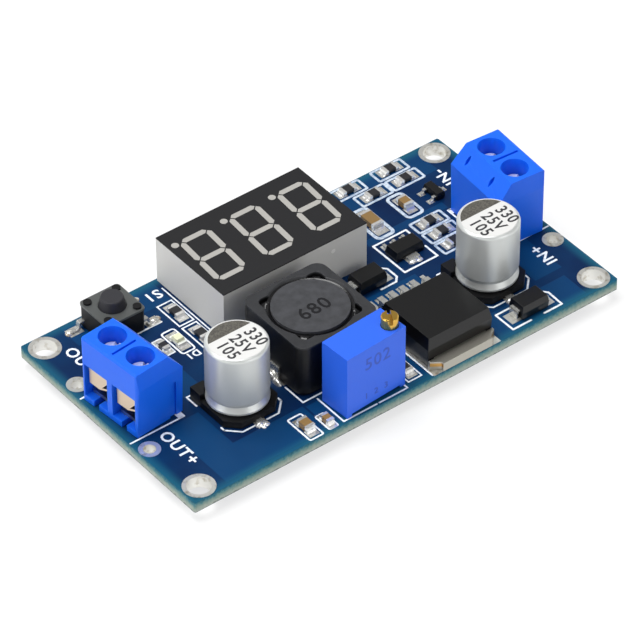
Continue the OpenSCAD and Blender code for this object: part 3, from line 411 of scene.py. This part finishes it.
# Diodes, small regulator, switch and display
diode_x, diode_y = input_end - 12.55, near_edge + 2.5
stroke([(diode_x - 1.1, diode_y - 1.75), (diode_x - 4, diode_y - 1.75), (diode_x - 4, diode_y + 1.65),
        (diode_x - 1.6, diode_y + 1.65)], 0.3)
stroke([(diode_x + 1.1, diode_y - 1.75), (diode_x + 3.9, diode_y - 1.75), (diode_x + 4, diode_y + 1),
        (diode_x + 3.4, diode_y + 1.65), (diode_x + 2, diode_y + 1.65)], 0.3)
stroke([(8.6, -1.15), (11, -1.15), (11.7, -0.4), (11.7, 1.5), (11.1, 2.1), (8.6, 2.1)], 0.3)
stroke([(18.3, 2), (18.3, -0.4), (13, -0.4), (13, 6), (18.3, 6), (18.3, 5.2)], 0.3)
stroke([(output_end + 12.7, 10.95), (output_end + 16.5, 10.95)], 0.3)
stroke([(-12.85, 6), (-12.85, 16)], 0.2)


def flat(x, y, turn, height, stretch=1.0):
    """The place of flat lettering: its middle, the way it reads in degrees, and the height of its face."""
    return (
        Matrix.Translation((x, y, height)) @ Matrix.Rotation(math.radians(turn), 4, "Z")
        @ Matrix.Diagonal((stretch, 1, 1, 1))
    )


def lettering(words, size_mm, place, name, made, weight):
    """Generic lettering of that size and weight, laid on a face of the board or of a part."""
    rise_mm = 0.012
    curve = bpy.data.curves.new(name, "FONT")
    curve.body = words
    curve.size = size_mm
    curve.offset = weight
    curve.align_x = "CENTER"
    curve.align_y = "CENTER"
    curve.extrude = rise_mm
    curve.space_character = 1.12
    curve.resolution_u = 3
    scratch = bpy.data.objects.new(name, curve)
    bpy.context.collection.objects.link(scratch)
    bpy.context.view_layer.update()
    data = bpy.data.meshes.new_from_object(scratch.evaluated_get(bpy.context.evaluated_depsgraph_get()))
    bpy.data.objects.remove(scratch)
    bm = bmesh.new()
    bm.from_mesh(data)
    bpy.data.meshes.remove(data)
    bmesh.ops.transform(bm, matrix=place, verts=bm.verts)
    finished(bm, name, made)


finished(print_layer, "screen_print", ink)
thin_ink = material("thin screen-printed ink", "#aebccd", 0.6)
mottle(thin_ink, "#8fa3bb", "#c6d1dd", 0.5, 0.3, 0.6)
finished(thin_print, "thin_screen_print", thin_ink)
for words, size, x, y, turn, name in (
    ("OUT+", 2.3, output_end + 4.35, -9, -90, "output_positive_mark"),
    ("OUT-", 2.3, output_end + 4.35, 10.9, -90, "output_negative_mark"),
    ("IN+", 2.3, input_end - 4.3, -8.6, 90, "input_positive_mark"),
    ("IN-", 2.3, input_end - 4.3, 11.2, 90, "input_negative_mark"),
    ("S1", 2.3, -14.6, far_edge - 2.4, 180, "switch_mark"),
    ("D1", 1.5, output_end + 16, far_edge - 14.4, 180, "indicator_mark"),
):
    lettering(words, size, flat(x, y, turn, ink_top), name, ink, weight=0.045)

# Display: a light grey moulded shell, faintly rough, with a small polished mark where its gate was cut.
# Its dark face leaves the bars open. Milky resin fills them and the cell behind them, over a small
# backing board with twelve pins.
shell_plastic = material("light grey moulded shell", "#d6d5d0", 0.5, Specular_IOR_Level=0.3)
grain(shell_plastic, 0.25, 0.01, 0.3)
dress("display_shell", shell_plastic)
soften("display_shell", 0.12)
gate_radius, gate_line, gate_depth, gate_stand = 0.45, 0.12, 0.01, 0.015
gate_x, gate_z = 4.7, 6.8
upright = Matrix.Rotation(math.radians(90), 4, "X")
mark = bmesh.new()
shell_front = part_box("display_shell")[0][1] / MM
bmesh.ops.create_circle(
    mark, cap_ends=True, radius=gate_radius, segments=40,
    matrix=Matrix.Translation((gate_x, shell_front - gate_stand, gate_z)) @ upright,
)
gate_rim = bmesh.ops.inset_region(
    mark, faces=mark.faces[:], thickness=gate_line, depth=gate_depth, use_boundary=True
)
bmesh.ops.delete(mark, geom=gate_rim["faces"], context="FACES")
finished(mark, "display_gate_mark", material("polished gate mark", "#f2f1ec", 0.3))
dark_face = material("dark printed display face", "#1b1b1d", 0.5, Specular_IOR_Level=0.25)
dress("display_mask", dark_face)
bar_resin = material("milky cast resin", "#a2a09b", 0.4)
dress("display_resin", bar_resin)
backing = material("green glass-fibre backing", "#3b4a3a", 0.5)
dress("display_backing", backing)
pin_tin = material("tin-plated pin", "#d8d8d4", 0.25, 0.8)
dress("display_pins", pin_tin)

# Screw terminals: blue polyamide mouldings that let in a little light, so their shadows stay blue. They
# hold bent tin-plated strips, pale satin pressure leaves, and zinc-plated screws that glint in the wells.
moulded_blue = material(
    "blue moulded polyamide", "#0c61e6", 0.42, Specular_IOR_Level=0.3, Subsurface_Weight=0.15,
    Subsurface_Radius=(0.3, 0.8, 1.6), Subsurface_Scale=MM,
)
grain(moulded_blue, 0.8, 0.03, 0.25)
strip_tin = material("tin-plated bent strip", "#b9b8b2", 0.3, 1.0)
leaf_brass = material("pale brass leaf", "#d8c4ac", 0.34, 1.0)
zinc_screw = material("zinc-plated screw", "#eef0f4", 0.25, 0.45)
for end in ("output", "input"):
    dress(end + "_housing", moulded_blue)
    soften(end + "_housing", 0.15)
    dress(end + "_contacts", strip_tin)
    for pole in ("positive", "negative"):
        dress(f"{end}_{pole}_clamp", leaf_brass)
        dress(f"{end}_{pole}_screw", zinc_screw)

# Can capacitors: drawn aluminium cans, satin at the side, on a black moulded base. The lid is pale
# lacquered metal, with a dark printed field on the negative side and plain values.
lid_film, print_film = 0.01, 0.02
shoulder, field_inset, field_from = 0.38, 0.1, 1.45
can_wall = material("satin drawn aluminium", "#d0d3d1", 0.34, 0.5)
can_lid = material("pale lacquered can lid", "#d4d4d2", 0.4)
can_print = material("dark speckled print", "#4a4842", 0.55)
mottle(can_print, "#3c3a35", "#5d5a52", 0.25)
can_ink = material("black can ink", "#26262a", 0.5)
black_base = material("black moulded polyester", "#0c0c0e", 0.45, Specular_IOR_Level=0.25)
for end in ("output", "input"):
    dress(end + "_capacitor_can", can_wall)
    dress(end + "_capacitor_base", black_base)
    soften(end + "_capacitor_base", 0.1)
    dress(end + "_capacitor_leads", pin_tin)
    low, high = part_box(end + "_capacitor_can")
    cx, cy = (low[0] + high[0]) / 2 / MM, (low[1] + high[1]) / 2 / MM
    lid_r = (high[0] - low[0]) / 2 / MM - shoulder
    lid_z = high[2] / MM
    lid = bmesh.new()
    bmesh.ops.create_circle(
        lid, cap_ends=True, radius=lid_r, segments=72,
        matrix=Matrix.Translation((cx, cy, lid_z + lid_film)),
    )
    finished(lid, end + "_capacitor_lid", can_lid)
    field = bmesh.new()
    bmesh.ops.create_circle(
        field, cap_ends=True, radius=lid_r - field_inset, segments=72,
        matrix=Matrix.Translation((cx, cy, lid_z + print_film)),
    )
    bmesh.ops.bisect_plane(
        field, geom=field.verts[:] + field.edges[:] + field.faces[:],
        plane_co=(0, cy + field_from, 0), plane_no=(0, -1, 0), clear_outer=True,
    )
    finished(field, end + "_capacitor_stripe", can_print)
    for words, dx in (("330", 2.15), ("25V", 0), ("105", -2.05)):
        lettering(
            words, 2.35, flat(cx + dx, cy - 0.95, -90, lid_z + print_film, 0.86),
            f"{end}_capacitor_{words.lower()}", can_ink, weight=0.04,
        )

# Inductor: a square ferrite shield, ground grey on top, its sides painted near black as painted shade and
# dark reflection, round a drum core wound with enamelled wire. Glossy black resin is run into the gap, and
# black lumps fill the four corner pockets; their black is partly painted shade for the dark inside the
# pockets.
shield_low, shield_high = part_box("inductor_shield")
shield_top = shield_high[2] / MM
ferrite = material("ferrite, ground on top, sides painted dark", "#303134", 0.42, Specular_IOR_Level=0.3)
tree = ferrite.node_tree
where = node(tree, "ShaderNodeTexCoord").outputs["Object"]
split = node(tree, "ShaderNodeSeparateXYZ", (), {0: where})
grey = node(
    tree, "ShaderNodeMapRange", {1: (shield_top - 0.35) * MM, 2: (shield_top - 0.12) * MM},
    {0: split.outputs["Z"]},
)
cloud = node(tree, "ShaderNodeTexNoise", {"Scale": 1 / (0.7 * MM), "Detail": 3.0}, {"Vector": where})
ground = node(
    tree, "ShaderNodeMix", {"data_type": "RGBA", 6: linear("#252628"), 7: linear("#353639")},
    {0: cloud.outputs["Fac"]},
)
# Painted shade and dark reflection: below the top the shield is painted near black, the top keeps its ground
# grey
painted_dark_sides = node(
    tree, "ShaderNodeMix", {"data_type": "RGBA", 6: linear("#09090b")},
    {0: grey.outputs[0], 7: ground.outputs[2]},
)
tree.links.new(painted_dark_sides.outputs[2], tree.nodes["Principled BSDF"].inputs["Base Color"])
drum_ferrite = material("ground ferrite drum", "#36373a", 0.45, Specular_IOR_Level=0.35)
mottle(drum_ferrite, "#333437", "#404145", 1.2)
dress("inductor_shield", ferrite)
soften("inductor_shield", 0.2, 3)
dress("inductor_drum", drum_ferrite)
soften("inductor_drum", 0.12)
dress("inductor_winding", material("enamelled copper wire", "#8a4a24", 0.35, 0.6))
dress("inductor_clips", pin_tin)
drum_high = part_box("inductor_drum")[1][2] / MM
centre_x = (shield_low[0] + shield_high[0]) / 2 / MM
centre_y = (shield_low[1] + shield_high[1]) / 2 / MM
resin = bmesh.new()
rim = [resin.verts.new((centre_x + r, centre_y, drum_high - depth)) for r, depth in (
    (4.9, 1.2), (4.9, 0.42), (5.05, 0.34), (5.28, 0.3), (5.42, 0.22), (5.5, 0.3), (5.5, 1.2))]
wall = [resin.edges.new(pair) for pair in zip(rim, rim[1:] + rim[:1])]
bmesh.ops.spin(
    resin, geom=wall, cent=(centre_x, centre_y, 0), axis=(0, 0, 1), angle=math.tau, steps=96,
    use_merge=True,
)
# Black lumps in the corner pockets: glossy resin, whose black also stands in as painted shade for the dark
# inside the pockets
lump_radius, lump_reach, lump_wave = 0.95, 3.85, 0.12
for sx in (-1, 1):
    for sy in (-1, 1):
        middle = (centre_x + sx * lump_reach, centre_y + sy * lump_reach, drum_high - lump_radius)
        lump = bmesh.ops.create_icosphere(
            resin, subdivisions=3, radius=lump_radius,
            matrix=Matrix.Translation(middle) @ Matrix.Diagonal((1, 1, 0.75, 1)),
        )
        for v in lump["verts"]:
            v.co.z += lump_wave * math.sin(v.co.x * 5 + sx) * math.cos(v.co.y * 4 - sy)
glue = material("black casting resin", "#0d0d0f", 0.22)
grain(glue, 0.5, 0.06, 0.5)
finished(resin, "inductor_resin", glue, smooth_below=40)
cut_mark = material("dark cut figures", "#17171a", 0.7, Specular_IOR_Level=0.2)
lettering(
    "680", 2.9, flat(centre_x, centre_y - 0.8, 3, drum_high + 0.01), "inductor_value", cut_mark,
    weight=0.04,
)

# Trimmer: a satin blue moulded box, set a little askew, with a turned brass adjusting screw and a cast seal
# round its three pins. Plain figures are moulded into its near side; they are drawn flat, painted darker as
# the shade in their recesses.
trimmer_blue = material("bright blue moulded polyester", "#2560e0", 0.42, Specular_IOR_Level=0.35)
grain(trimmer_blue, 0.4, 0.02, 0.3)
dress("trimmer_housing", trimmer_blue)
soften("trimmer_housing", 0.12)
trimmer_twist = 3.5
trimmer_half_width = 2.3
figure_stand = 0.005
trimmer_low, trimmer_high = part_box("trimmer_housing")
trimmer_x = (trimmer_low[0] + trimmer_high[0]) / 2 / MM
trimmer_y = (trimmer_low[1] + trimmer_high[1]) / 2 / MM
trimmer_top = trimmer_high[2] / MM
askew = Matrix.Translation((trimmer_x, trimmer_y, 0)) @ Matrix.Rotation(math.radians(trimmer_twist), 4, "Z")
# Painted shade: the flat figures are painted darker blue, as the shade in moulded recesses
sunk_shade = material("shaded moulded figures", "#1c48b8", 0.5)
for words, size, along, up, name in (
    ("502", 2.6, 0.2, trimmer_top - 2.6, "trimmer_value"),
    ("1  2  3", 1.3, 0, trimmer_top - 7.6, "trimmer_pin_numbers"),
):
    place = askew @ Matrix.Translation((along, -trimmer_half_width - figure_stand, up)) @ upright
    lettering(words, size, place, name, sunk_shade, weight=0.02)
dress("trimmer_screw", material("turned brass", "#d9ae52", 0.28, 1.0))
soften("trimmer_screw", 0.06)
dress("trimmer_seal", material("cast blue seal", "#2f59c8", 0.5))
dress("trimmer_pins", pin_tin)

# Regulator: black moulded epoxy, nearly smooth, over a dull tin-plated copper tab and five leads. The
# tab's two corners were cut after plating, so bare copper shows there.
corner_cut_mm, copper_level_mm, copper_half_mm = 1.22, 0.42, 0.26
black_epoxy = material("black moulded epoxy", "#070708", 0.3, Specular_IOR_Level=0.45)
grain(black_epoxy, 0.12, 0.01, 0.4)
dress("regulator_body", black_epoxy)
soften("regulator_body", 0.08, angle=15)
tab_tin = material("dull tin-plated tab", "#b3b0a6", 0.42, 1.0)
tab_low, tab_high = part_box("regulator_tab")
tree = tab_tin.node_tree
where = node(tree, "ShaderNodeTexCoord").outputs["Object"]
to_tab_edge = (-(tab_low[0] + tab_high[0]) / 2, -tab_low[1], -tab_high[2])
tab_half = (tab_high[0] - tab_low[0]) / 2
off_centre = node(tree, "ShaderNodeMapping", {"Location": to_tab_edge}, {"Vector": where})
axes = node(tree, "ShaderNodeSeparateXYZ", (), {0: off_centre.outputs[0]})
aside = node(tree, "ShaderNodeMath", {"operation": "ABSOLUTE"}, {0: axes.outputs["X"]})
corner = node(
    tree, "ShaderNodeMath", {"operation": "GREATER_THAN", 1: tab_half - corner_cut_mm * MM},
    {0: aside.outputs[0]},
)
front = node(
    tree, "ShaderNodeMath", {"operation": "LESS_THAN", 1: corner_cut_mm * MM}, {0: axes.outputs["Y"]}
)
below = node(
    tree, "ShaderNodeMath", {"operation": "COMPARE", 1: -copper_level_mm * MM, 2: copper_half_mm * MM},
    {0: axes.outputs["Z"]},
)
both = node(tree, "ShaderNodeMath", {"operation": "MULTIPLY"}, {0: corner.outputs[0], 1: front.outputs[0]})
sheared = node(tree, "ShaderNodeMath", {"operation": "MULTIPLY"}, {0: both.outputs[0], 1: below.outputs[0]})
metal = node(
    tree, "ShaderNodeMix", {"data_type": "RGBA", 6: linear("#b3b0a6"), 7: linear("#c49a5c")},
    {0: sheared.outputs[0]},
)
tree.links.new(metal.outputs[2], tree.nodes["Principled BSDF"].inputs["Base Color"])
grain(tab_tin, 0.3, 0.02, 0.4)
dress("regulator_tab", tab_tin)
soften("regulator_tab", 0.06)
dress("regulator_leads", pin_tin)

# Small parts in black epoxy: diodes, the little regulator, the transistor and the driver chip below.
for part in ("input_diode", "output_diode", "small_regulator", "transistor", "driver_chip"):
    dress(part + "_body", black_epoxy)
    soften(part + "_body", 0.05, angle=15)
    dress(part + "_leads", pin_tin)

# Push button: black base with riveted studs, a dull grey steel cover, and a matt black button on a snap
# dome. Its four legs are soldered by hand, so amber flux stains the solder round them.
cover_steel = material("dull grey pressed cover", "#6a6d6c", 0.42, 0.8)
dress("switch_base", black_base)
dress("switch_cover", cover_steel)
button_black = material("black moulded button", "#2d2d31", 0.45, Specular_IOR_Level=0.3)
grain(button_black, 0.12, 0.03, 0.6)
dress("switch_button", button_black)
soften("switch_button", 0.08)
dress("switch_dome", pin_tin)
dress("switch_legs", pin_tin)
legs_low, legs_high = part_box("switch_legs")
leg_inset_x, leg_inset_y = 0.3, 0.35
stained_heaps = bmesh.new()
for x in (legs_low[0] / MM + leg_inset_x, legs_high[0] / MM - leg_inset_x):
    for y in (legs_low[1] / MM + leg_inset_y, legs_high[1] / MM - leg_inset_y):
        heap(stained_heaps, x - 0.25, y, 1.2, 1.1, 0.42)
        heap(stained_heaps, x + 0.4, y + 0.1, 1.0, 0.9, 0.3)
cut_level(stained_heaps)
stained = material("solder with amber flux", "#e6dfcc", 0.2, 0.7)
mottle(stained, "#efece4", "#9c7a3c", 0.8, 0.5, 0.75)
grain(stained, 0.5, 0.1, 0.7)
finished(stained_heaps, "switch_solder_heaps", stained, smooth_below=60)

# Chip resistors: a black glazed element on pale ceramic. Ceramic capacitors: fired brown ceramic.
# Both end in tin-plated caps. The indicator lamp is a pale block with a clear lens.
dress("chip_resistor_bodies", material("black glazed resistor", "#1c1c20", 0.4))
dress("chip_resistor_ends", solder)
dress("ceramic_capacitor_bodies", material("fired brown ceramic", "#85683a", 0.4))
dress("ceramic_capacitor_ends", solder)
dress("indicator_base", material("white lamp substrate", "#dfe2da", 0.5))
dress("indicator_lens", material("pale lamp lens", "#dfe0bf", 0.2))

# Studio floor: matt white paint under the pins. The camera and shiny parts see it nearly white, and it
# keeps the board's soft shadow.
floor_half = 3.0
floor_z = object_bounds()[0][2]
floor_bm = bmesh.new()
bmesh.ops.create_grid(
    floor_bm, x_segments=1, y_segments=1, size=floor_half, matrix=Matrix.Translation((0, 0, floor_z))
)
floor_data = bpy.data.meshes.new("floor")
floor_bm.to_mesh(floor_data)
floor_bm.free()
floor = bpy.data.objects.new("floor", floor_data)
bpy.context.collection.objects.link(floor)
floor_paint = material("white studio floor", "#f2f2f2", 0.9)
tree = floor_paint.node_tree
rays = node(tree, "ShaderNodeLightPath")
seen = node(
    tree, "ShaderNodeMath", {"operation": "MAXIMUM"},
    {0: rays.outputs["Is Camera Ray"], 1: rays.outputs["Is Glossy Ray"]},
)
share = node(tree, "ShaderNodeMath", {"operation": "MULTIPLY", 1: 0.7}, {0: seen.outputs[0]})
glow = node(tree, "ShaderNodeEmission", {"Color": (1, 1, 1, 1), "Strength": 1.0})
blend = node(tree, "ShaderNodeMixShader", (), {
    0: share.outputs[0], 1: tree.nodes["Principled BSDF"].outputs[0], 2: glow.outputs[0]})
tree.links.new(blend.outputs[0], tree.nodes["Material Output"].inputs["Surface"])
floor_data.materials.append(floor_paint)

# Studio room: white walls behind, an even soft light, and a dimmer ceiling that only shiny parts see.
world = bpy.data.worlds.new("studio")
bpy.context.scene.world = world
world.use_nodes = True
sky = world.node_tree
ambient = sky.nodes["Background"]
ambient.inputs["Color"].default_value = (1, 1, 1, 1)
ambient.inputs["Strength"].default_value = 0.5
sky_rays = node(sky, "ShaderNodeLightPath")
direction = node(sky, "ShaderNodeTexCoord").outputs["Generated"]
rise = node(sky, "ShaderNodeSeparateXYZ", (), {0: direction})
ceiling = node(sky, "ShaderNodeMapRange", {1: 0.1, 2: 0.55, 3: 1.0, 4: 0.3}, {0: rise.outputs["Z"]})
level = node(sky, "ShaderNodeMix", {"data_type": "FLOAT", 3: 1.0}, {
    0: sky_rays.outputs["Is Camera Ray"], 2: ceiling.outputs[0]})
backdrop = node(sky, "ShaderNodeBackground", {"Color": (1, 1, 1, 1)}, {"Strength": level.outputs[0]})
seen = node(sky, "ShaderNodeMath", {"operation": "MAXIMUM"},
            {0: sky_rays.outputs["Is Camera Ray"], 1: sky_rays.outputs["Is Glossy Ray"]})
sky_blend = node(sky, "ShaderNodeMixShader", (), {
    0: seen.outputs[0], 1: ambient.outputs[0], 2: backdrop.outputs[0]})
sky.links.new(sky_blend.outputs[0], sky.nodes["World Output"].inputs["Surface"])


def soft_box(name, place, aim, size, watts):
    """An area lamp at a place, turned to face a point."""
    lamp = bpy.data.lights.new(name, "AREA")
    lamp.size = size
    lamp.energy = watts
    holder = bpy.data.objects.new(name, lamp)
    holder.location = place
    holder.rotation_euler = (Vector(aim) - Vector(place)).to_track_quat("-Z", "Y").to_euler()
    bpy.context.collection.objects.link(holder)


soft_box("top light", (-0.1, 0.12, 0.6), (0, 0, 0), 0.4, 3.6)
soft_box("side light", (-0.5, 0.12, 0.28), (0, 0, 0), 0.3, 0.7)
soft_box("front light", (0.12, -0.5, 0.25), (0, 0, 0), 0.3, 0.5)

# Camera: 585 mm away with a long lens, 41 degrees above the board, 38 degrees round from its long edge.
azimuth, elevation, roll = math.radians(37.886), math.radians(40.986), math.radians(-0.209)
aim = Vector((0.1246, 0.4746, 0)) * MM
look = Vector((
    math.sin(azimuth) * math.cos(elevation), math.cos(azimuth) * math.cos(elevation), -math.sin(elevation)
))
right = look.cross(Vector((0, 0, 1))).normalized()
up = right.cross(look)
right, up = (
    math.cos(roll) * right + math.sin(roll) * up,
    math.cos(roll) * up - math.sin(roll) * right,
)
camera_data = bpy.data.cameras.new("camera")
camera_data.lens = 263.44
camera_data.sensor_width = 36
camera_data.clip_start = 0.01
camera = bpy.data.objects.new("camera", camera_data)
turned = Matrix((right, up, -look)).transposed().to_4x4()
camera.matrix_world = Matrix.Translation(aim - look * 585.14 * MM) @ turned
bpy.context.collection.objects.link(camera)
bpy.context.scene.camera = camera
bpy.context.scene.view_settings.view_transform = "Standard"
